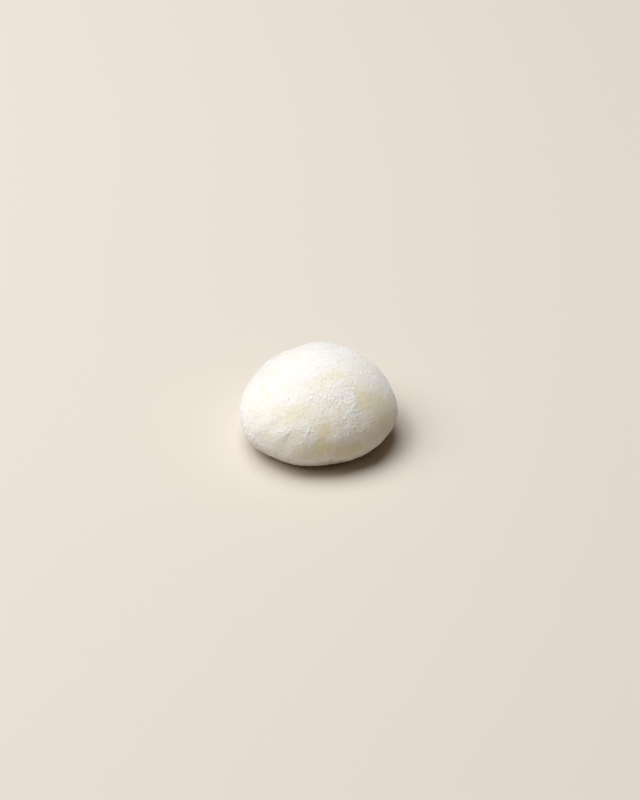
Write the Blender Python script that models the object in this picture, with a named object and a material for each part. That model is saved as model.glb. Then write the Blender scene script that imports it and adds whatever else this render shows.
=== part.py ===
"""A round mochi rice cake: one soft ball of rice dough that has slumped under its own weight.

Metres, +Z up. The origin is the middle of the underside: the cake rests on a flat foot at z = 0,
and -Y is the side that faces the person who eats it.

The body is a cube whose vertices are moved onto the cake. The cube's bottom becomes the flat foot,
its top becomes the cap, and its four sides become the flanks, so the mesh has no poles.
"""

import math

import bmesh
import bpy
import numpy as np
from mathutils import Vector

# Driving sizes
BREADTH = 0.060  # across the widest level
HEIGHT = 0.0333  # from the foot to the top
WIDEST_LEVEL = 0.0112  # how far above the foot the cake is widest
FOOT_BREADTH = 0.037  # across the flat that the dough has settled into
SHOULDER_SLUMP = 0.033  # share by which the shoulders fall inside an ellipse
LEAN = 0.0017  # how far the top stands towards +X of the foot

# The plan isn't a circle: (lobes, share of the radius, azimuth of a lobe in degrees from +X)
OVAL = (2, 0.019, 85.0)
ROUNDED_TRIANGLE = (3, 0.0345, -16.5)

# What fingers left on the soft dough. Each mark is seen from the middle of the widest level:
# (azimuth, elevation and spread in degrees, push in metres, outwards if positive)
PALM_FLAT_AT_THE_BACK = (113.5, 30.5, 11.5, -0.00088)
FINGER_FLAT_IN_FRONT = (-127.5, -16.5, 13.0, -0.00073)
BROAD_FLAT_ON_THE_RIGHT = (-9.0, 4.0, 19.5, -0.00085)
SWELL_ON_THE_RIGHT = (-4.5, -3.5, 9.5, 0.00102)
SWELL_ON_THE_LEFT = (173.0, 8.5, 13.5, 0.00054)
HAND_MARKS = (
    PALM_FLAT_AT_THE_BACK,
    FINGER_FLAT_IN_FRONT,
    BROAD_FLAT_ON_THE_RIGHT,
    SWELL_ON_THE_RIGHT,
    SWELL_ON_THE_LEFT,
)
MARKS_FADE_BELOW = 0.003  # a mark dies away over this height, so that the foot stays flat

# Mesh
FACES_PER_SIDE = 16  # of the cube, so the cake has six times the square of this in quads
CAP_SHARE = 0.26  # the part of the outline, from the top down, that the cube's top takes
OUTLINE_STEPS = 200  # how finely the outline is measured

DOUGH_COLOUR = (0.86, 0.82, 0.70, 1.0)  # linear: off-white with a trace of yellow
DOUGH_ROUGHNESS = 0.8


def clear_scene():
    for thing in list(bpy.data.objects):
        bpy.data.objects.remove(thing)


def outline():
    """The half section from the middle of the top to the middle of the foot.

    Returns the distance along it, the radius and the height of each point, as arrays.
    """
    widest = BREADTH / 2
    foot = FOOT_BREADTH / 2
    turn = np.linspace(0, math.pi / 2, OUTLINE_STEPS)
    slump = 1 - SHOULDER_SLUMP * np.sin(2 * turn) ** 2
    dome_radius = widest * np.sin(turn) * slump
    dome_height = WIDEST_LEVEL + (HEIGHT - WIDEST_LEVEL) * np.cos(turn) * slump
    curl_radius = foot + (widest - foot) * np.cos(turn)
    curl_height = WIDEST_LEVEL * (1 - np.sin(turn))
    radius = np.concatenate([dome_radius, curl_radius[1:], [0.0]])
    height = np.concatenate([dome_height, curl_height[1:], [0.0]])
    steps = np.hypot(np.diff(radius), np.diff(height))
    return np.concatenate([[0.0], np.cumsum(steps)]), radius, height


def round_the_square(x, y):
    """Moves a point of the square from -1 to 1 into the unit disc, its border onto the circle."""
    return x * math.sqrt(1 - y * y / 2), y * math.sqrt(1 - x * x / 2)


def place_on_outline(corner, foot_share):
    """Where a vertex of the cube goes: its azimuth, and its share of the way down the outline."""
    u, v = round_the_square(corner.x, corner.y)
    reach = min(1.0, math.hypot(u, v))
    if corner.z > 0.9999:
        share = CAP_SHARE * reach
    elif corner.z < -0.9999:
        share = 1 - foot_share * reach
    else:
        way_down = (1 - corner.z) / 2
        share = CAP_SHARE + (1 - foot_share - CAP_SHARE) * way_down
    return math.atan2(v, u), share


def plan_factor(azimuth):
    """How much wider than a circle the plan is in this direction."""
    factor = 1.0
    for lobes, amount, lobe_azimuth in (OVAL, ROUNDED_TRIANGLE):
        factor += amount * math.cos(lobes * (azimuth - math.radians(lobe_azimuth)))
    return factor


def direction(azimuth_deg, elevation_deg):
    azimuth, elevation = math.radians(azimuth_deg), math.radians(elevation_deg)
    level = math.cos(elevation)
    return Vector((level * math.cos(azimuth), level * math.sin(azimuth), math.sin(elevation)))


def hand_marks(point):
    """How far the fingers moved this point of the surface, away from the cake's middle."""
    outward = (point - Vector((0, 0, WIDEST_LEVEL))).normalized()
    free = min(1.0, point.z / MARKS_FADE_BELOW)
    push = 0.0
    for azimuth, elevation, spread, depth in HAND_MARKS:
        away = math.degrees(outward.angle(direction(azimuth, elevation)))
        push += depth * math.exp(-((away / spread) ** 2) / 2)
    return outward * push * free


def cake_mesh():
    along, radius, height = outline()
    foot_share = FOOT_BREADTH / 2 / along[-1]
    mesh = bmesh.new()
    bmesh.ops.create_cube(mesh, size=2)
    bmesh.ops.subdivide_edges(
        mesh, edges=mesh.edges[:], cuts=FACES_PER_SIDE - 1, use_grid_fill=True
    )
    for vertex in mesh.verts:
        azimuth, share = place_on_outline(vertex.co, foot_share)
        way = share * along[-1]
        r = float(np.interp(way, along, radius)) * plan_factor(azimuth)
        z = float(np.interp(way, along, height))
        point = Vector((r * math.cos(azimuth) + LEAN * z / HEIGHT, r * math.sin(azimuth), z))
        vertex.co = point + hand_marks(point)
    centre_plan(mesh)
    bmesh.ops.recalc_face_normals(mesh, faces=mesh.faces[:])
    made = bpy.data.meshes.new("mochi_rice_cake")
    mesh.to_mesh(made)
    mesh.free()
    made.shade_smooth()
    return made


def centre_plan(mesh):
    """Slides the cake so that the middle of its plan is over the origin."""
    xs = [vertex.co.x for vertex in mesh.verts]
    ys = [vertex.co.y for vertex in mesh.verts]
    middle = Vector(((min(xs) + max(xs)) / 2, (min(ys) + max(ys)) / 2, 0))
    bmesh.ops.translate(mesh, verts=mesh.verts[:], vec=-middle)


def dough_material():
    material = bpy.data.materials.new("starch_dusted_dough")
    material.use_nodes = True
    shader = material.node_tree.nodes["Principled BSDF"]
    shader.inputs["Base Color"].default_value = DOUGH_COLOUR
    shader.inputs["Roughness"].default_value = DOUGH_ROUGHNESS
    shader.inputs["Metallic"].default_value = 0.0
    return material


def build_cake():
    cake = bpy.data.objects.new("mochi_rice_cake", cake_mesh())
    cake.data.materials.append(dough_material())
    bpy.context.scene.collection.objects.link(cake)


clear_scene()
build_cake()
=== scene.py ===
# %% [markdown]
# # A mochi rice cake under its coat of starch
#
# Mochi is steamed rice pounded to a smooth dough. A piece of it is pinched off, rolled between two
# palms and set down, and its own weight turns the ball into a low dome. The dough is sticky, so the
# cook rolls it in potato starch, which stays on it as a fine white coat: thick here, thin there.
#
# The solid already has the size and the form. This lesson gives it a skin: a fine, even mesh laid
# over the solid, the marks that hands leave, the coat of starch and the crumbs that lie loose on it.

# %% Load the solid
import math

import bpy
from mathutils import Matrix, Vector


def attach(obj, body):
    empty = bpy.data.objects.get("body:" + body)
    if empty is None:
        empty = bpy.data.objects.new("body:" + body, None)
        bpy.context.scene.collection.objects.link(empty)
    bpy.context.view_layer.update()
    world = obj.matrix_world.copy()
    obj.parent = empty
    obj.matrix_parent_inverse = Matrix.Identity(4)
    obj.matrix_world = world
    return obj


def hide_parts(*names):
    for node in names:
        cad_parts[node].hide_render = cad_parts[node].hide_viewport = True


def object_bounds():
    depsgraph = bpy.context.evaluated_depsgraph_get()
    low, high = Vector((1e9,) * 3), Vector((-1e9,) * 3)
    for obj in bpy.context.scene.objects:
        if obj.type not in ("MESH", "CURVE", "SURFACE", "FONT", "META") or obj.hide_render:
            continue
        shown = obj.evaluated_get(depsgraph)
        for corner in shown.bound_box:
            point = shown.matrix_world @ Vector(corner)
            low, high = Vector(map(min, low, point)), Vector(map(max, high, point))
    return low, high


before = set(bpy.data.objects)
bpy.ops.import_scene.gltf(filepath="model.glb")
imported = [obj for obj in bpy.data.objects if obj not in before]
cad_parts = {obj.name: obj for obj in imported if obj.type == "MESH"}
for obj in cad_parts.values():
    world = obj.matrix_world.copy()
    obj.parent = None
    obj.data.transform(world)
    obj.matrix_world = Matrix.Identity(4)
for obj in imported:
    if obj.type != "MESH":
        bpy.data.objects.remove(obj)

MM = 0.001
cad_low, cad_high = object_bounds()
cake_size = cad_high - cad_low
print("the solid measures", [round(side / MM, 1) for side in cake_size], "mm")

# %% [markdown]
# ## Four small helpers
#
# Colours are easiest to choose as the hex codes that every picture editor shows, but Blender
# computes with linear light, so one function turns the first into the second.
#
# A node tree is a list of nodes with their settings and links. Writing each one out takes five
# lines, so one function adds a node, sets it, links its inputs and returns the output that the next
# node needs. It works for every kind of node, in materials and in Geometry Nodes alike.
#
# A finish starts as a material with Blender's all-round shader. What is the same all over a surface
# is set on the shader itself, and only what changes from place to place needs nodes.
#
# Lamps and places on the cake are given as directions: an azimuth, with 0 to the right, 90 at the
# back and -90 towards the person who eats the cake, and an elevation, both in degrees.


# %% Colours, nodes, finishes and directions
def linear(hex_colour):
    """An sRGB colour such as "F4E9D8" as linear red, green, blue and alpha."""
    shares = [int(hex_colour[at : at + 2], 16) / 255 for at in (0, 2, 4)]
    return [s / 12.92 if s <= 0.04045 else ((s + 0.055) / 1.055) ** 2.4 for s in shares] + [1.0]


def add(tree, kind, inputs=None, out=0, **settings):
    """Adds a node and returns one of its outputs.

    inputs holds, for a socket's name or number, a value or the output that feeds it. A number is
    for a node that has several sockets of one name, such as a Mix node, whose pair for vectors is
    4 and 5 and whose pair for colours is 6 and 7.
    """
    node = tree.nodes.new(kind)
    for name, value in settings.items():
        setattr(node, name, value)
    for socket, value in (inputs or {}).items():
        if isinstance(value, bpy.types.NodeSocket):
            tree.links.new(value, node.inputs[socket])
        else:
            node.inputs[socket].default_value = value
    return node.outputs[out]


def new_finish(name, all_over):
    """A material with these values on its shader. Returns it and the shader."""
    finish = bpy.data.materials.new(name)
    finish.use_nodes = True
    shader = finish.node_tree.nodes["Principled BSDF"]
    for socket, value in all_over.items():
        shader.inputs[socket].default_value = value
    return finish, shader


def direction(azimuth, elevation):
    """The direction with this azimuth and elevation, both in degrees."""
    a, e = math.radians(azimuth), math.radians(elevation)
    return Vector((math.cos(e) * math.cos(a), math.cos(e) * math.sin(a), math.sin(e)))


MATH, VECTOR_MATH = "ShaderNodeMath", "ShaderNodeVectorMath"
MIX, MAP_RANGE, NOISE = "ShaderNodeMix", "ShaderNodeMapRange", "ShaderNodeTexNoise"
print("pure white is", linear("FFFFFF"))
print("towards the eater is", [round(part, 3) for part in direction(-90, 0)])

# %% [markdown]
# ## The camera
#
# Food on a plate is usually seen by someone who sits at the table, so the camera looks down by a
# little over 36 degrees. It stands almost a metre back with a long lens, which keeps the cake from
# bulging towards the viewer as it would in a close-up with a short lens. The lens follows from how
# much of the table it takes in: the picture is about nine times as high as the cake.

# %% Place the camera
LOOK_DOWN = math.radians(36.3)
CAMERA_DISTANCE = 950 * MM
SENSOR = 36 * MM  # the long side of the picture, behind the lens
VIEW_HEIGHT = 303.836 * MM  # the long side of the picture, at the cake
AIM_RIGHT, AIM_UP = 0.36 * MM, 11.27 * MM  # the middle of the view, from the middle of the foot

camera_up = Vector((0, math.sin(LOOK_DOWN), math.cos(LOOK_DOWN)))
camera_back = Vector((0, -math.cos(LOOK_DOWN), math.sin(LOOK_DOWN)))
aim = Vector((AIM_RIGHT, 0, 0)) + AIM_UP * camera_up

camera = bpy.data.objects.new("camera", bpy.data.cameras.new("camera"))
bpy.context.scene.collection.objects.link(camera)
bpy.context.scene.camera = camera
camera.location = aim + CAMERA_DISTANCE * camera_back
camera.rotation_mode = "QUATERNION"
camera.rotation_quaternion = camera_back.to_track_quat("Z", "Y")
camera.data.sensor_width = SENSOR / MM
camera.data.lens = SENSOR * CAMERA_DISTANCE / VIEW_HEIGHT / MM
print("the lens is", round(camera.data.lens, 1), "mm long")

# %% [markdown]
# ## The table
#
# The cake stands on a plain, pale table. White food looks whitest on something slightly darker and
# warmer than itself, so the table has the colour of unglazed stoneware. It is one flat square, and
# so large that its edges are far outside every view.

# %% Lay the table
# Unglazed stoneware: fired clay, warm and pale, with almost no gloss.
TABLE = "D2C9BC"
TABLE_ROUGHNESS = 0.9
TABLE_GLOSS = 0.2
TABLE_HALF = 3.0  # metres from the middle to an edge

table_mesh = bpy.data.meshes.new("table")
corners = [(x * TABLE_HALF, y * TABLE_HALF, 0) for x, y in ((-1, -1), (1, -1), (1, 1), (-1, 1))]
table_mesh.from_pydata(corners, [], [(0, 1, 2, 3)])
table = bpy.data.objects.new("table", table_mesh)
bpy.context.scene.collection.objects.link(table)
stoneware, _ = new_finish(
    "matt_stoneware",
    {
        "Base Color": linear(TABLE),
        "Roughness": TABLE_ROUGHNESS,
        "Specular IOR Level": TABLE_GLOSS,
    },
)
table_mesh.materials.append(stoneware)
print("the table is", 2 * TABLE_HALF, "m square")

# %% [markdown]
# ## The light
#
# White food needs a shadow side, or it turns into a flat disc. Two oval soft boxes give it one. The
# stronger hangs high on the left and a little behind the cake, so that its light grazes the near
# side and the starch shows its texture. The weaker is lower on the left and reaches the flank that
# the first leaves dark. Each is about two metres across and two metres away: lamps as large as that
# wrap round the dome and let the shadow run out softly.
#
# Nothing else in the room is bright. Its walls give back a faint, warm glow, so the shadow stays
# deep where the cake meets the table, and what lights the cake's underside is mostly the pale table
# itself.

# %% Light the cake
LAMP_DISTANCE = 2.0  # metres
LAMP_COLOUR = "F8FBFF"  # white with a trace of blue, as from a window
SOFT_BOXES = (
    # name, azimuth and elevation, half the angle it fills across and up and down, watts
    ("high_soft_box", (144, 74), (27, 22), 45.0),
    ("low_soft_box", (184, 51), (24, 20), 22.5),
)
GLOW_COLOUR = "FF9E5E"  # light that came back from wood and warm walls
GLOW_STRENGTH = 0.035

for name, place, half_angles, watts in SOFT_BOXES:
    to_lamp = direction(*place)
    lamp_data = bpy.data.lights.new(name, "AREA")
    lamp_data.shape = "ELLIPSE"
    lamp_data.size = 2 * LAMP_DISTANCE * math.tan(math.radians(half_angles[0]))
    lamp_data.size_y = 2 * LAMP_DISTANCE * math.tan(math.radians(half_angles[1]))
    lamp_data.energy = watts
    lamp_data.color = linear(LAMP_COLOUR)[:3]
    lamp = bpy.data.objects.new(name, lamp_data)
    lamp.location = to_lamp * LAMP_DISTANCE
    lamp.rotation_mode = "QUATERNION"
    lamp.rotation_quaternion = to_lamp.to_track_quat("Z", "Y")
    bpy.context.scene.collection.objects.link(lamp)
    print(name, "is", round(lamp_data.size, 2), "by", round(lamp_data.size_y, 2), "m")

room = bpy.data.worlds.new("room")
room.use_nodes = True
glow = room.node_tree.nodes["Background"]
glow.inputs["Color"].default_value = linear(GLOW_COLOUR)
glow.inputs["Strength"].default_value = GLOW_STRENGTH
bpy.context.scene.world = room
bpy.context.scene.view_settings.view_transform = "Standard"

# %% [markdown]
# ## Geometry Nodes from a script
#
# Everything on the skin follows a rule, so Geometry Nodes make it. A tree is built once, with named
# inputs for its sizes, and a modifier then runs it with the sizes that this cake needs. Five
# helpers cover that: one starts a tree, one ends it, one makes a piece, one puts a tree on it, and
# one turns what the trees made into a plain mesh, because other programs can't read a modifier.


# %% Trees and modifiers
def start_tree(name, sizes):
    """A tree with geometry in and out and a named input for each size. Returns it and its inputs."""
    tree = bpy.data.node_groups.new(name, "GeometryNodeTree")
    tree.interface.new_socket("Geometry", in_out="OUTPUT", socket_type="NodeSocketGeometry")
    tree.interface.new_socket("Geometry", in_out="INPUT", socket_type="NodeSocketGeometry")
    for size, value in sizes.items():
        kind = "NodeSocketInt" if isinstance(value, int) else "NodeSocketFloat"
        tree.interface.new_socket(size, in_out="INPUT", socket_type=kind)
    return tree, tree.nodes.new("NodeGroupInput").outputs


def end_tree(tree, geometry, finish):
    """Ends a tree in real geometry with a finish on it."""
    real = add(tree, "GeometryNodeRealizeInstances", {"Geometry": geometry})
    finished = add(tree, "GeometryNodeSetMaterial", {"Geometry": real, "Material": finish})
    tree.links.new(finished, tree.nodes.new("NodeGroupOutput").inputs["Geometry"])


def new_piece(name, mesh):
    """A piece at the origin, unturned and unscaled: its place is in its mesh."""
    piece = bpy.data.objects.new(name, mesh)
    bpy.context.scene.collection.objects.link(piece)
    return piece


def run_tree(piece, tree, sizes):
    """Puts a tree on a piece. An input is set through its socket's identifier."""
    modifier = piece.modifiers.new(tree.name, "NODES")
    modifier.node_group = tree
    for socket in tree.interface.items_tree:
        if socket.in_out == "INPUT" and socket.name in sizes:
            modifier[socket.identifier] = sizes[socket.name]


def make_plain(piece):
    """Replaces the piece's mesh by what its trees made of it, and removes them."""
    graph = bpy.context.evaluated_depsgraph_get()
    made = bpy.data.meshes.new_from_object(
        piece.evaluated_get(graph), preserve_all_data_layers=True, depsgraph=graph
    )
    made.name = piece.name
    piece.modifiers.clear()
    piece.data = made


print("trees are built for Blender", bpy.app.version_string)

# %% [markdown]
# ## Two finishes in one
#
# **Rice dough** is off-white, smooth and a little translucent: light enters it and comes out some
# millimetres away, warmer than it went in. **Potato starch** is a very fine white powder with no
# gloss at all, and like velvet it brightens where it is seen at a grazing angle. The two share one
# material, because the coat fades in and out over the dough. The skin's mesh carries a number for
# how well starch covers each point, and the material mixes the two colours and the two degrees of
# gloss by it. Speckles break up the edge of the coat, so that it ends in separate flecks.

# %% Starch-dusted rice dough
# Rice dough: steamed and pounded, satin where it's bare, cream-coloured.
DOUGH = "EEE5C4"
DOUGH_ROUGHNESS = 0.5
LIGHT_REACH = 4 * MM  # how far light travels in the dough
# Potato starch: a matt white powder, its grains far too fine to see one by one.
STARCH = "FDF6EE"
STARCH_ROUGHNESS = 0.95
SPECKLE_SIZE = 0.5 * MM  # clots of grains, the finest thing that shows
SPECKLE_DEPTH = 0.4 * MM  # deeper than real clots are, so that they show from where the eater sits
SPECKLE_CONTRAST = 2.8
COVER = "starch_cover"  # the attribute on the skin: 0 is bare dough, 1 is fully white
DUSTED_DOUGH = {
    "Subsurface Weight": 0.5,  # half the light goes through the dough
    "Subsurface Radius": (1.0, 0.8, 0.6),  # red goes furthest
    "Subsurface Scale": LIGHT_REACH,
    "Specular IOR Level": 0.3,  # a moist surface that powder dulls
    "Diffuse Roughness": 0.3,
    "Sheen Weight": 0.9,  # the velvet look of fine powder
    "Sheen Roughness": 0.5,
}


def dusted_dough():
    finish, shader = new_finish("starch_on_rice_dough", DUSTED_DOUGH)
    tree = finish.node_tree
    place = add(tree, "ShaderNodeTexCoord", out="Object")
    cover = add(tree, "ShaderNodeAttribute", out="Fac", attribute_name=COVER)
    speckle = add(
        tree,
        NOISE,
        {"Vector": place, "Scale": 1 / SPECKLE_SIZE, "Detail": 3.0, "Roughness": 0.6},
    )
    broken = add(
        tree,
        MATH,
        {0: speckle, 1: SPECKLE_CONTRAST, 2: -SPECKLE_CONTRAST / 2},
        operation="MULTIPLY_ADD",
    )
    covered = add(tree, MATH, {0: cover, 1: broken}, operation="ADD", use_clamp=True)
    colours = {"Factor": covered, 6: linear(DOUGH), 7: linear(STARCH)}
    colour = add(tree, MIX, colours, out=2, data_type="RGBA")
    gloss = add(
        tree, MAP_RANGE, {"Value": covered, "To Min": DOUGH_ROUGHNESS, "To Max": STARCH_ROUGHNESS}
    )
    relief = {"Strength": 1.0, "Distance": SPECKLE_DEPTH, "Height": speckle}
    grain = add(tree, "ShaderNodeBump", relief)
    tree.links.new(colour, shader.inputs["Base Color"])
    tree.links.new(gloss, shader.inputs["Roughness"])
    tree.links.new(grain, shader.inputs["Normal"])
    return finish


dough_finish = dusted_dough()
print("finish:", dough_finish.name)

# %% [markdown]
# ## An even skin over the solid
#
# The solid is made of about 2,600 flat triangles, which is plenty for a simulation and far too few
# for a close look. Subdividing it would keep its uneven triangles. Instead a cube with finely divided
# sides is blown up inside the solid until each of its points meets the wall, like a balloon in a
# box. The wall is a smoothed copy of the solid. The cube has no poles, so its small faces stay
# nearly square all over, and a last pass averages neighbouring points until the solid's flat facets
# are gone.

# %% Blow up a cube inside the solid
skin_sizes = {
    "Points across the top": 138,
    "Points down a side": 100,
    "Steepness": 1.3,
    "Weld distance": 0.01 * MM,
    "Wall subdivisions": 2,
    "Averaging passes": 36,
}


def skin_tree():
    tree, given = start_tree("even_skin", skin_sizes)
    solid = add(
        tree,
        "GeometryNodeMergeByDistance",
        {"Geometry": given["Geometry"], "Distance": given["Weld distance"]},
    )
    wall = add(
        tree,
        "GeometryNodeSubdivisionSurface",
        {"Mesh": solid, "Level": given["Wall subdivisions"]},
    )
    low = add(tree, "GeometryNodeBoundBox", {"Geometry": solid}, out="Min")
    high = add(tree, "GeometryNodeBoundBox", {"Geometry": solid}, out="Max")
    middle = add(tree, MIX, {"Factor": 0.5, 4: low, 5: high}, out=1, data_type="VECTOR")
    half = add(tree, VECTOR_MATH, {0: high, 1: middle}, operation="SUBTRACT")
    across, down = given["Points across the top"], given["Points down a side"]
    cube = add(
        tree,
        "GeometryNodeMeshCube",
        {"Size": (2, 2, 2), "Vertices X": across, "Vertices Y": across, "Vertices Z": down},
    )
    # A tangent spreads the cube's points so that they end up evenly spaced on a ball.
    place = add(tree, "GeometryNodeInputPosition")
    eighth_turn = [math.pi / 4] * 3
    angle = add(tree, VECTOR_MATH, {0: place, 1: eighth_turn}, operation="MULTIPLY")
    spread = add(tree, VECTOR_MATH, {0: angle}, operation="TANGENT")
    ball = add(tree, VECTOR_MATH, {0: spread}, operation="NORMALIZE")
    outward = add(tree, VECTOR_MATH, {0: ball, 1: half}, operation="MULTIPLY")
    # Steeper rays give the top and the foot fewer points and leave more for the flanks.
    steep = add(tree, "ShaderNodeCombineXYZ", {"X": 1, "Y": 1, "Z": given["Steepness"]})
    outward = add(tree, VECTOR_MATH, {0: outward, 1: steep}, operation="MULTIPLY")
    met = add(
        tree,
        "GeometryNodeRaycast",
        {"Target Geometry": wall, "Source Position": middle, "Ray Direction": outward},
        out="Hit Position",
    )
    blown = add(tree, "GeometryNodeSetPosition", {"Geometry": cube, "Position": met})
    here = add(tree, "GeometryNodeInputPosition")
    average = add(
        tree,
        "GeometryNodeBlurAttribute",
        {"Value": here, "Iterations": given["Averaging passes"]},
        data_type="FLOAT_VECTOR",
    )
    even = add(tree, "GeometryNodeSetPosition", {"Geometry": blown, "Position": average})
    smooth = add(tree, "GeometryNodeSetShadeSmooth", {"Geometry": even})
    end_tree(tree, smooth, dough_finish)
    return tree


cake = new_piece("dusted_rice_cake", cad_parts["mochi_rice_cake"].data.copy())
run_tree(cake, skin_tree(), skin_sizes)
make_plain(cake)
print("the skin has", len(cake.data.polygons), "faces")

# %% [markdown]
# ## Strokes on the skin
#
# Creases, bare places and heaps of starch all have a place and a course, as if someone had drawn
# them with a finger. A place on the skin is a direction from the cake's heart, and a stroke runs
# from place to place. Its strength is worked out from how far each point of the skin is from it, so
# it needs no picture wrapped round the cake. A drawn line would look ruled, so the directions are
# first made to sway to and fro a little.

# %% Draw with directions from the heart of the cake
HEART = Vector((0, 0, cake_size.z / 3))  # near the level where the cake is widest
SKIN_RADIUS = 28 * MM  # about how far the flank is from the heart
SWAY_SIZE = 3.5 * MM


def outward_field(tree, sway):
    """The direction of each point of the skin from the heart, wandering by sway to and fro."""
    place = add(tree, "GeometryNodeInputPosition")
    reach = add(tree, VECTOR_MATH, {0: place, 1: HEART}, operation="SUBTRACT")
    outward = add(tree, VECTOR_MATH, {0: reach}, operation="NORMALIZE")
    cloud = add(tree, NOISE, {"Vector": place, "Scale": 1 / SWAY_SIZE, "Detail": 3.0}, out="Color")
    cloud = add(tree, VECTOR_MATH, {0: cloud, 1: [0.5] * 3}, operation="SUBTRACT")
    cloud = add(tree, VECTOR_MATH, {0: cloud, "Scale": 2 * sway / SKIN_RADIUS}, operation="SCALE")
    return add(tree, VECTOR_MATH, {0: outward, 1: cloud}, operation="ADD")


def stroke(tree, outward, course, breadth, core=0.0):
    """1 along a stroke, falling smoothly to 0 at breadth from it.

    course is a list of (azimuth, elevation); breadth is in metres on the skin, and core is the
    share of it that is still 1.
    """
    nearest = None
    for start, end in zip(course, course[1:]):
        first, last = direction(*start), direction(*end)
        run = last - first
        reach = add(tree, VECTOR_MATH, {0: outward, 1: first}, operation="SUBTRACT")
        per_run = run / run.length_squared
        share = add(tree, VECTOR_MATH, {0: reach, 1: per_run}, "Value", operation="DOT_PRODUCT")
        share = add(tree, MATH, {0: share, 1: 0.0}, operation="ADD", use_clamp=True)
        near = add(tree, VECTOR_MATH, {0: run, "Scale": share}, operation="SCALE")
        off = add(tree, VECTOR_MATH, {0: reach, 1: near}, "Value", operation="DISTANCE")
        if nearest:
            off = add(tree, MATH, {0: nearest, 1: off}, operation="MINIMUM")
        nearest = off
    far = breadth / SKIN_RADIUS
    return add(
        tree,
        MAP_RANGE,
        {"Value": nearest, "From Min": core * far, "From Max": far, "To Min": 1.0, "To Max": 0.0},
        interpolation_type="SMOOTHSTEP",
    )


print("the heart is", round(HEART.z / MM, 1), "mm above the foot")

# %% [markdown]
# ## Clouds, and how they raise the skin
#
# What has no place of its own is a cloud: noise that is computed in space, so that it has no seams,
# and whose scale is one over a real size. Clouds and strokes are added up to one height for each
# point, and the skin moves out by it along its normal. It stays where it is near the table, which
# has pressed the foot flat.


# %% Clouds and height
def noise_field(tree, place, seed, size, detail, roughness=0.5, distortion=0.0):
    """A cloudy pattern of about this size, running from -1 to 1."""
    scale = add(tree, MATH, {0: 1.0, 1: size}, operation="DIVIDE")
    inputs = {"Vector": place, "W": seed, "Scale": scale}
    inputs |= {"Detail": detail, "Roughness": roughness, "Distortion": distortion}
    cloud = add(tree, NOISE, inputs, noise_dimensions="4D")
    return add(tree, MATH, {0: cloud, 1: 2.0, 2: -1.0}, operation="MULTIPLY_ADD")


def raise_skin(tree, geometry, height, foot_fade):
    """Moves the skin out by height along its normal, but not where it stands on its foot."""
    place = add(tree, "GeometryNodeInputPosition")
    level = add(tree, "ShaderNodeSeparateXYZ", {0: place}, out="Z")
    free = add(
        tree, MAP_RANGE, {"Value": level, "From Max": foot_fade}, interpolation_type="SMOOTHSTEP"
    )
    faded = add(tree, MATH, {0: height, 1: free}, operation="MULTIPLY")
    normal = add(tree, "GeometryNodeInputNormal")
    offset = add(tree, VECTOR_MATH, {0: normal, "Scale": faded}, operation="SCALE")
    return add(tree, "GeometryNodeSetPosition", {"Geometry": geometry, "Offset": offset})


print("a cloud of 1 mm has scale", 1 / MM)

# %% [markdown]
# ## What hands leave on soft dough
#
# No part of a hand-rolled cake is truly round. Palms leave broad, shallow unevenness and a few flats
# where they pressed longest, the dough dimples between the fingers, and its surface wrinkles finely
# as it dries. Where the dough folded over itself before it was rolled, it keeps a few soft creases
# low on the near side. The lower flank carries the weight of the dome, so it folds more.

# %% Where the marks are
CREASES = (
    # course as (azimuth, elevation), breadth, depth
    (((-122, 20), (-127, 11), (-133, 3)), 2.4 * MM, 0.12 * MM),
    (((-108, 12), (-112, 7), (-118, 0)), 3.4 * MM, 0.26 * MM),
    (((-140, 15), (-144, 4)), 2.0 * MM, 0.10 * MM),
    (((-81, -6), (-80, -12), (-79, -24)), 1.5 * MM, 0.45 * MM),
)
CREASE_SWAY = 1.2 * MM
LIP_BREADTH = 2.5  # dough pushed out of a crease lies beside it, over this many times its breadth
LIP_SHARE = 3  # a crease is this many times as deep as its lips are high
FLATS = (
    # course as (azimuth, elevation), breadth, depth
    (((163, 23), (140, 28), (116, 32)), 9.0 * MM, 0.75 * MM),
    (((-135, -10), (-105, -13), (-75, -13)), 5.0 * MM, 0.55 * MM),
)
SAG_FROM = HEART.z + 6 * MM  # the dough folds more from this level down
SAG_TO = HEART.z - 4 * MM  # and fully from this one
WRINKLE_FLATNESS = 1.7  # how many times longer a wrinkle is round the cake than up it
mark_sizes = {
    "Unevenness size": 14 * MM,
    "Unevenness height": 0.25 * MM,
    "Dimple size": 4.0 * MM,
    "Dimple depth": 0.10 * MM,
    "Wrinkle size": 1.2 * MM,
    "Wrinkle depth": 0.17 * MM,
    "Sag": 1.8,
    "Foot fade": 3.0 * MM,
    "Seed": 4.0,
}
print("creases:", len(CREASES), "and flats:", len(FLATS))


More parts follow.
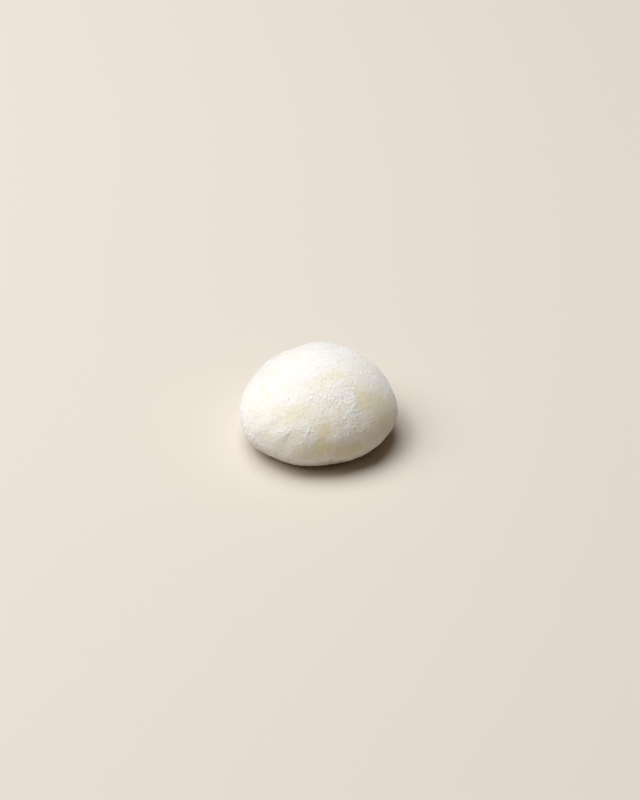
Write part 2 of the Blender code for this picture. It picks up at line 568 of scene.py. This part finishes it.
# %% Mark the skin
def mark_tree():
    tree, given = start_tree("hand_marks", mark_sizes)
    place = add(tree, "GeometryNodeInputPosition")
    seed = given["Seed"]
    broad = noise_field(tree, place, seed, given["Unevenness size"], detail=1.0)
    dimple = noise_field(tree, place, seed, given["Dimple size"], detail=1.0)
    squeezed = add(tree, VECTOR_MATH, {0: place, 1: (1, 1, WRINKLE_FLATNESS)}, operation="MULTIPLY")
    size = given["Wrinkle size"]
    wrinkle = noise_field(tree, squeezed, seed, size, detail=2.0, roughness=0.6, distortion=0.3)
    height = add(tree, MATH, {0: broad, 1: given["Unevenness height"]}, operation="MULTIPLY")
    height = add(
        tree, MATH, {0: dimple, 1: given["Dimple depth"], 2: height}, operation="MULTIPLY_ADD"
    )
    height = add(
        tree, MATH, {0: wrinkle, 1: given["Wrinkle depth"], 2: height}, operation="MULTIPLY_ADD"
    )
    level = add(tree, "ShaderNodeSeparateXYZ", {0: place}, out="Z")
    sag = add(
        tree,
        MAP_RANGE,
        {
            "Value": level,
            "From Min": SAG_FROM,
            "From Max": SAG_TO,
            "To Min": 1.0,
            "To Max": given["Sag"],
        },
        interpolation_type="SMOOTHSTEP",
    )
    height = add(tree, MATH, {0: height, 1: sag}, operation="MULTIPLY")
    # A crease is deeper in some places than in others, so the dimples change its depth.
    swayed = outward_field(tree, CREASE_SWAY)
    for course, breadth, depth in CREASES:
        groove = stroke(tree, swayed, course, breadth)
        lip = stroke(tree, swayed, course, LIP_BREADTH * breadth)
        depth_here = add(tree, MATH, {0: dimple, 1: depth, 2: depth}, operation="MULTIPLY_ADD")
        deep = add(tree, MATH, {0: groove, 1: depth_here}, operation="MULTIPLY")
        height = add(tree, MATH, {0: height, 1: deep}, operation="SUBTRACT")
        lip_height = depth / LIP_SHARE
        height = add(tree, MATH, {0: lip, 1: lip_height, 2: height}, operation="MULTIPLY_ADD")
    straight = outward_field(tree, 0.0)
    for course, breadth, depth in FLATS:
        flat = stroke(tree, straight, course, breadth)
        height = add(tree, MATH, {0: flat, 1: -depth, 2: height}, operation="MULTIPLY_ADD")
    marked = raise_skin(tree, given["Geometry"], height, given["Foot fade"])
    end_tree(tree, marked, dough_finish)
    return tree


run_tree(cake, mark_tree(), mark_sizes)
make_plain(cake)
print("the marked cake is", round(cake.dimensions.z / MM, 1), "mm high")

# %% [markdown]
# ## The coat of starch
#
# Starch sticks where the dough is tacky and rubs off where a finger held it. How well it covers each
# point is a sum: a cloud of drifts some millimetres across, a cloud of flecks of a millimetre or two,
# a little more on the upper left, much less in the named bare places and more in the named heaps. The
# upper left is the side that the starch fell on and also the side the lamps light, so the extra
# starch there is partly real and partly a painted highlight that makes the lit side whiter.
#
# The sum is stored on the skin for the material, and it also raises the skin, because the coat has a
# thickness of its own: it stands a tenth of a millimetre or two proud of bare dough, and a third
# cloud makes it grainy.

# %% Where starch lies and where it's gone
BARE_PLACES = (
    # course as (azimuth, elevation), breadth, how bare
    (((-85, 18), (-87, 12), (-88, 5)), 3.2 * MM, 1.1),
    (((-98, 54), (-85, 60), (-48, 60)), 3.0 * MM, 0.5),
    (((-39, 32), (-34, 25), (-30, 15), (-23, 3)), 6.0 * MM, 1.1),
    (((-76, -3), (-69, -1), (-61, -1)), 3.0 * MM, 0.8),
    (((-125, 20), (-117, 26), (-108, 32)), 3.2 * MM, 0.4),
    (((-166, 30), (-153, 31), (-143, 30)), 3.0 * MM, 0.3),
    (((168, 52), (165, 61), (167, 71)), 3.0 * MM, 0.3),
    (((-40, 52), (-19, 53), (-5, 51)), 3.0 * MM, 0.35),
)
RUBBED_FURTHER = 1.15  # the coat starts to thin this many times as far out
BAREST_SHARE = 0.1  # the share of that in which the place is at its barest
HEAPS = (
    # course as (azimuth, elevation), breadth, how much starch lies there
    (((-158, 46), (-140, 58), (-109, 64)), 4.0 * MM, 0.5),
    (((112, 77), (43, 81), (-12, 71)), 4.2 * MM, 0.7),
    (((-79, 45), (-69, 44), (-60, 44)), 3.0 * MM, 0.8),
    (((-171, 24), (-155, 25)), 3.0 * MM, 0.4),
    (((-51, 43), (-59, 29), (-66, 16)), 3.2 * MM, 0.5),
    (((-114, 46), (-100, 43)), 3.0 * MM, 0.4),
    (((-98, 21), (-94, 12)), 3.6 * MM, 0.35),
    (((-118, 13), (-115, 14)), 1.9 * MM, 1.4),
    (((-82, 11), (-70, 12)), 3.0 * MM, 0.5),
    (((5, 23), (-4, 15)), 3.2 * MM, 0.4),
    (((-14, 50), (-10, 38)), 3.6 * MM, 0.4),
    (((-140, -4), (-120, -8), (-98, -13)), 5.0 * MM, 0.8),
    (((-172, 4), (-158, 3), (-146, 4)), 4.0 * MM, 0.35),
)
# More starch towards this side, where the starch fell and where the lamps light the cake: the whiter
# coat here is partly a painted highlight.
DUSTED_AND_LIT_SIDE = direction(160, 60)  # the side that starch fell on most
COAT_SWAY = 3.0 * MM
coat_sizes = {
    "Mean cover": 0.63,
    "Drift size": 6 * MM,
    "Drift strength": 0.7,
    "Fleck size": 1.5 * MM,
    "Fleck strength": 0.5,
    "Dusted and lit side strength": 0.4,
    "Heap strength": 0.6,
    "Grain size": 0.6 * MM,
    "Grain strength": 2.8,
    "Coat thickness": 0.15 * MM,
    "Foot fade": 1.5 * MM,
    "Seed": 11.0,
}
print("bare places:", len(BARE_PLACES), "and heaps:", len(HEAPS))


# %% Dust the skin
def coat_tree():
    tree, given = start_tree("starch_coat", coat_sizes)
    place = add(tree, "GeometryNodeInputPosition")
    outward = outward_field(tree, COAT_SWAY)
    seed = given["Seed"]
    drift = noise_field(tree, place, seed, given["Drift size"], detail=2.0)
    size = given["Fleck size"]
    fleck = noise_field(tree, place, seed, size, detail=3.0, roughness=0.6, distortion=0.4)
    grain = noise_field(tree, place, seed, given["Grain size"], detail=2.0, roughness=0.6)
    # Whiter coat on the side facing the lamps: partly where the starch fell, partly a painted
    # highlight.
    facing_dusted_lit_side = add(tree, VECTOR_MATH, {0: outward, 1: DUSTED_AND_LIT_SIDE}, "Value", operation="DOT_PRODUCT")
    cover = given["Mean cover"]
    for layer, strength in (
        (drift, given["Drift strength"]),
        (fleck, given["Fleck strength"]),
        (facing_dusted_lit_side, given["Dusted and lit side strength"]),
    ):
        cover = add(tree, MATH, {0: layer, 1: strength, 2: cover}, operation="MULTIPLY_ADD")
    for course, breadth, bareness in BARE_PLACES:
        bare = stroke(tree, outward, course, RUBBED_FURTHER * breadth, BAREST_SHARE)
        cover = add(tree, MATH, {0: bare, 1: -bareness, 2: cover}, operation="MULTIPLY_ADD")
    heap = 0.0
    for course, breadth, amount in HEAPS:
        there = stroke(tree, outward, course, breadth)
        heap = add(tree, MATH, {0: there, 1: amount, 2: heap}, operation="MULTIPLY_ADD")
    cover = add(tree, MATH, {0: cover, 1: heap}, operation="ADD", use_clamp=True)
    piled = add(
        tree, MATH, {0: heap, 1: given["Heap strength"], 2: cover}, operation="MULTIPLY_ADD"
    )
    uneven = add(
        tree, MATH, {0: grain, 1: given["Grain strength"], 2: 1.0}, operation="MULTIPLY_ADD"
    )
    thick = add(tree, MATH, {0: piled, 1: uneven}, operation="MULTIPLY")
    height = add(tree, MATH, {0: thick, 1: given["Coat thickness"]}, operation="MULTIPLY")
    dusted = raise_skin(tree, given["Geometry"], height, given["Foot fade"])
    noted = add(
        tree,
        "GeometryNodeStoreNamedAttribute",
        {"Geometry": dusted, "Name": COVER, "Value": cover},
        data_type="FLOAT",
        domain="POINT",
    )
    end_tree(tree, noted, dough_finish)
    return tree


run_tree(cake, coat_tree(), coat_sizes)
make_plain(cake)
cover_of = [point.value for point in cake.data.attributes[COVER].data]
print("starch covers", round(100 * sum(cover_of) / len(cover_of)), "% of the skin")

# %% [markdown]
# ## Crumbs of starch
#
# Starch clots when it meets a damp surface, so the coat carries thousands of small crumbs. The
# largest are big enough to see: each one catches the light on one side and throws a little shadow
# on the other. They are dry powder right through, so their finish is the matt white of starch
# alone, without the dough's translucency, a little shaded where the grains are packed less tightly.

# %% Potato starch in clots
CLOT_SHADE = "F1EEE6"
CLOT_MOTTLE = 0.25 * MM
CLOT_GLOSS = 0.2


def starch_clots():
    all_over = {"Roughness": STARCH_ROUGHNESS, "Specular IOR Level": CLOT_GLOSS}
    finish, shader = new_finish("potato_starch_clots", all_over)
    tree = finish.node_tree
    place = add(tree, "ShaderNodeTexCoord", out="Object")
    mottle = add(tree, NOISE, {"Vector": place, "Scale": 1 / CLOT_MOTTLE, "Detail": 2.0})
    colours = {"Factor": mottle, 6: linear(CLOT_SHADE), 7: linear(STARCH)}
    colour = add(tree, MIX, colours, out=2, data_type="RGBA")
    tree.links.new(colour, shader.inputs["Base Color"])
    return finish


clot_finish = starch_clots()
print("finish:", clot_finish.name)

# %% [markdown]
# ## From pebbles to thousands of crumbs
#
# The crumbs are real geometry. A handful of lumpy pebbles, each a ball of only 20 faces that noise
# has pushed out of shape, is scattered over the skin with Distribute Points on Faces. Most land
# where the coat is thick. Each is turned and scaled at random and sunk a little into the coat. Most
# are tiny and few are large, as with anything that crumbles.

# %% A handful of pebbles
PEBBLES = 4  # different shapes of crumb
PEBBLE_APART = 3.1  # how far apart the noise of two pebbles is taken, so that they differ
LUMPS = 1.1  # for each radius of a pebble
LUMPINESS = 1.6
PEBBLE_CORE = 0.2  # the share of its radius that noise doesn't change


def pebbles_in(tree):
    """The pebbles, each as an instance, in one geometry."""
    pebbles = tree.nodes.new("GeometryNodeJoinGeometry")
    for shape in range(PEBBLES):
        ball = add(tree, "GeometryNodeMeshIcoSphere", {"Radius": 1.0, "Subdivisions": 1})
        place = add(tree, "GeometryNodeInputPosition")
        inputs = {"Vector": place, "W": PEBBLE_APART * shape, "Scale": LUMPS, "Detail": 1.0}
        bump = add(tree, NOISE, inputs, noise_dimensions="4D")
        swell = add(
            tree, MATH, {0: bump, 1: LUMPINESS, 2: PEBBLE_CORE}, operation="MULTIPLY_ADD"
        )
        moved = add(tree, VECTOR_MATH, {0: place, "Scale": swell}, operation="SCALE")
        pebble = add(tree, "GeometryNodeSetPosition", {"Geometry": ball, "Position": moved})
        pebble = add(tree, "GeometryNodeGeometryToInstance", {0: pebble})
        tree.links.new(pebble, pebbles.inputs[0])
    return pebbles.outputs[0]


print("pebbles:", PEBBLES)

# %% Scatter crumbs
crumb_sizes = {
    "Crumbs for each square metre": 1.8e6,
    "Clean above the foot": 1.0 * MM,
    "Smallest radius": 0.06 * MM,
    "Largest radius": 0.36 * MM,
    "Sunk share": 0.5,
    "Rarity of large ones": 5.0,
    "Seed": 7,
}


def crumb_tree():
    tree, given = start_tree("crumbs", crumb_sizes)
    place = add(tree, "GeometryNodeInputPosition")
    level = add(tree, "ShaderNodeSeparateXYZ", {0: place}, out="Z")
    off_foot = add(
        tree, MATH, {0: level, 1: given["Clean above the foot"]}, operation="GREATER_THAN"
    )
    cover = add(tree, "GeometryNodeInputNamedAttribute", {"Name": COVER})
    density = add(
        tree, MATH, {0: cover, 1: given["Crumbs for each square metre"]}, operation="MULTIPLY"
    )
    inputs = {"Mesh": given["Geometry"], "Selection": off_foot}
    inputs |= {"Density": density, "Seed": given["Seed"]}
    spots = add(tree, "GeometryNodeDistributePointsOnFaces", inputs)
    normal = spots.node.outputs["Normal"]
    chance = add(
        tree,
        "FunctionNodeRandomValue",
        {2: 0.0, 3: 1.0, "Seed": given["Seed"]},
        out=1,
        data_type="FLOAT",
    )
    rare = add(tree, MATH, {0: chance, 1: given["Rarity of large ones"]}, operation="POWER")
    radius = add(
        tree,
        MAP_RANGE,
        {"Value": rare, "To Min": given["Smallest radius"], "To Max": given["Largest radius"]},
    )
    depth = add(tree, MATH, {0: radius, 1: given["Sunk share"]}, operation="MULTIPLY")
    down = add(tree, MATH, {0: depth, 1: -1.0}, operation="MULTIPLY")
    inward = add(tree, VECTOR_MATH, {0: normal, "Scale": down}, operation="SCALE")
    sunk = add(tree, "GeometryNodeSetPosition", {"Geometry": spots, "Offset": inward})
    turn = add(
        tree,
        "FunctionNodeRandomValue",
        {0: (0, 0, 0), 1: [math.tau] * 3, "Seed": given["Seed"]},
        data_type="FLOAT_VECTOR",
    )
    inputs = {"Points": sunk, "Instance": pebbles_in(tree), "Pick Instance": True}
    inputs |= {"Rotation": turn, "Scale": radius}
    laid = add(tree, "GeometryNodeInstanceOnPoints", inputs)
    real = add(tree, "GeometryNodeRealizeInstances", {"Geometry": laid})
    smooth = add(tree, "GeometryNodeSetShadeSmooth", {"Geometry": real})
    end_tree(tree, smooth, clot_finish)
    return tree


crumbs = new_piece("starch_crumbs", cake.data.copy())
run_tree(crumbs, crumb_tree(), crumb_sizes)
make_plain(crumbs)
print("crumbs:", len(crumbs.data.polygons), "faces")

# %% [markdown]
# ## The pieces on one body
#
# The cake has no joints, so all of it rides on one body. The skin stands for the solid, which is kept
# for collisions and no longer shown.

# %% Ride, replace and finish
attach(cake, "root")
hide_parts("mochi_rice_cake")
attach(crumbs, "root")
